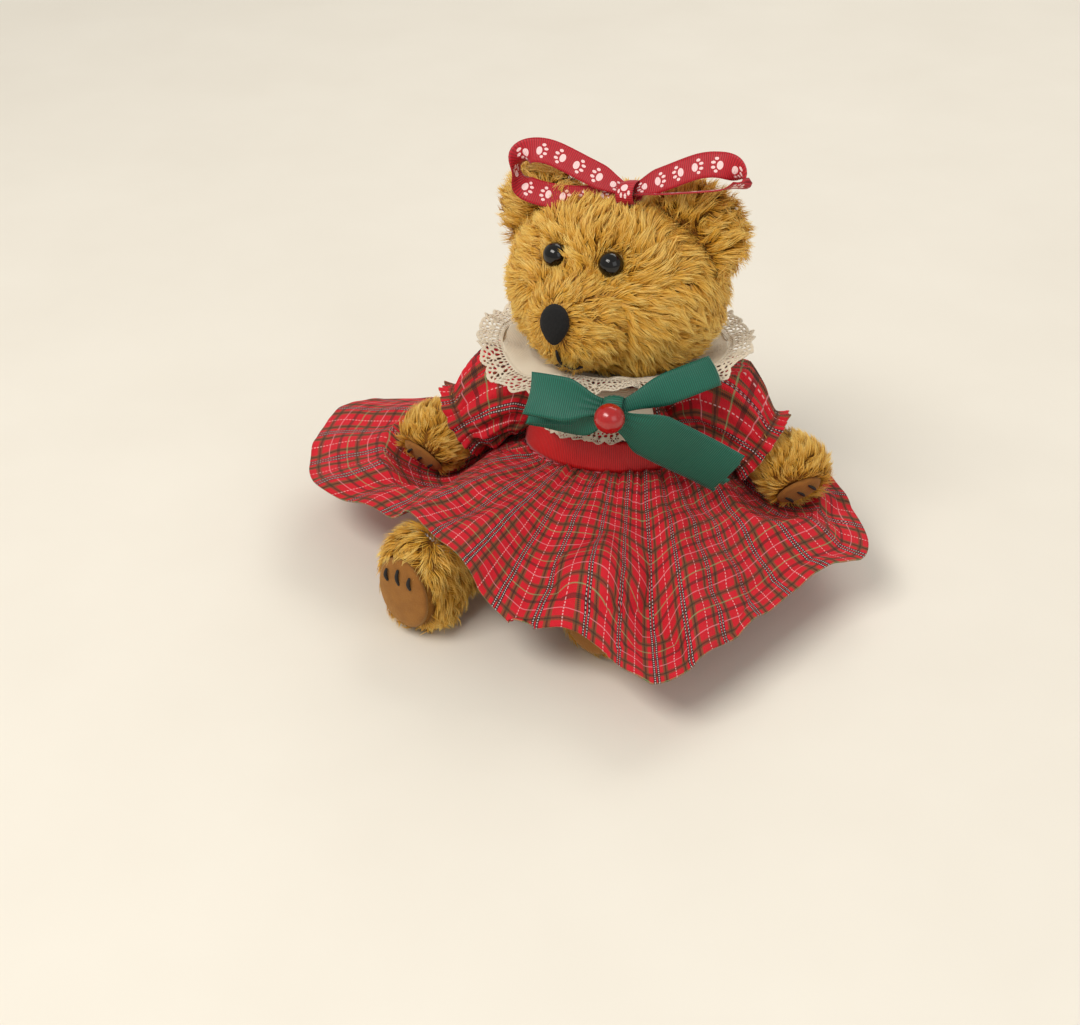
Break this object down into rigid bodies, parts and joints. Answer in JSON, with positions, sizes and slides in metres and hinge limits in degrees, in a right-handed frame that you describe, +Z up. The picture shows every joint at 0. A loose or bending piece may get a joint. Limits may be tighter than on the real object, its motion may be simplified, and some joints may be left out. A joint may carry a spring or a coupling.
{
  "type": "jointed teddy bear",
  "caption": "Seated plush teddy bear with disc-jointed neck, shoulders and hips, in a tartan dress with a lace collar and ribbon bows.",
  "frame": {"origin": "centre of the flat seat underside, on the surface that the bear sits on", "axes": "+X the bear's own left, -Y the way the body faces, +Z up"},
  "size_m": [0.2472, 0.2031, 0.1878],
  "materials": {
    "golden_plush": "long curly golden pile",
    "tan_suede": "soft suede",
    "tartan_cloth": "woven red tartan",
    "cream_cloth": "plain cotton",
    "cream_lace": "crochet lace",
    "green_ribbon": "grosgrain",
    "red_ribbon": "grosgrain with white paw shapes",
    "red_sash": "grosgrain",
    "red_bead": "gloss",
    "eye_black": "gloss",
    "nose_flock": "flocked",
    "black_thread": "thread",
    "fibre_fill": "loose fibre",
    "joint_plastic": "moulded",
    "joint_steel": "sprung steel"
  },
  "bodies": {
    "torso": {"bib": "cream_cloth", "bib_lace": "cream_lace", "bow_bead": "red_bead", "collar": "cream_cloth", "collar_lace": "cream_lace", "dress_bodice": "tartan_cloth", "dress_skirt": "tartan_cloth", "hip_left_body_disc": "joint_plastic", "hip_right_body_disc": "joint_plastic", "neck_body_disc": "joint_plastic", "neck_ribbon_knot": "green_ribbon", "neck_ribbon_loop_left": "green_ribbon", "neck_ribbon_loop_right": "green_ribbon", "neck_ribbon_tail_left": "green_ribbon", "neck_ribbon_tail_right": "green_ribbon", "shoulder_left_body_disc": "joint_plastic", "shoulder_right_body_disc": "joint_plastic", "torso_shell": "golden_plush", "torso_stuffing": "fibre_fill", "waist_sash": "red_sash"},
    "head": {"ear_left": "golden_plush", "ear_right": "golden_plush", "eye_left": "eye_black", "eye_lock_washers": "joint_steel", "eye_right": "eye_black", "hair_bow_knot": "red_ribbon", "hair_bow_loop_left": "red_ribbon", "hair_bow_loop_right": "red_ribbon", "head_shell": "golden_plush", "head_stuffing": "fibre_fill", "mouth_stitching": "black_thread", "neck_limb_disc": "joint_plastic", "neck_lock_washer": "joint_steel", "nose": "nose_flock"},
    "arm_left": {"arm_shell_left": "golden_plush", "arm_stuffing_left": "fibre_fill", "claw_stitches_left": "black_thread", "paw_pad_left": "tan_suede", "shoulder_left_limb_disc": "joint_plastic", "shoulder_left_lock_washer": "joint_steel", "sleeve_left": "tartan_cloth"},
    "arm_right": {"arm_shell_right": "golden_plush", "arm_stuffing_right": "fibre_fill", "claw_stitches_right": "black_thread", "paw_pad_right": "tan_suede", "shoulder_right_limb_disc": "joint_plastic", "shoulder_right_lock_washer": "joint_steel", "sleeve_right": "tartan_cloth"},
    "leg_left": {"foot_pad_left": "tan_suede", "hip_left_limb_disc": "joint_plastic", "hip_left_lock_washer": "joint_steel", "leg_shell_left": "golden_plush", "leg_stuffing_left": "fibre_fill", "toe_stitches_left": "black_thread"},
    "leg_right": {"foot_pad_right": "tan_suede", "hip_right_limb_disc": "joint_plastic", "hip_right_lock_washer": "joint_steel", "leg_shell_right": "golden_plush", "leg_stuffing_right": "fibre_fill", "toe_stitches_right": "black_thread"}
  },
  "joints": [
    {"name": "neck", "type": "hinge", "parent": "torso", "child": "head", "pos_m": [0, 0, 0], "axis": [0, 0.1908, 0.9816], "continuous": true},
    {"name": "shoulder_left", "type": "hinge", "parent": "torso", "child": "arm_left", "pos_m": [0.028, 0.01317, 0.06773], "axis": [-0.809, -0.1122, -0.577], "range_deg": [0, 40]},
    {"name": "shoulder_right", "type": "hinge", "parent": "torso", "child": "arm_right", "pos_m": [-0.028, 0.01317, 0.06773], "axis": [-0.809, 0.1122, 0.577], "range_deg": [0, 40]},
    {"name": "hip_left", "type": "hinge", "parent": "torso", "child": "leg_left", "pos_m": [0.033, 0.006, 0.024], "axis": [0.9511, -0.309, 0], "range_deg": [0, 90]},
    {"name": "hip_right", "type": "hinge", "parent": "torso", "child": "leg_right", "pos_m": [-0.033, 0.006, 0.024], "axis": [0.9063, -0.4226, 0], "range_deg": [0, 90]}
  ]
}
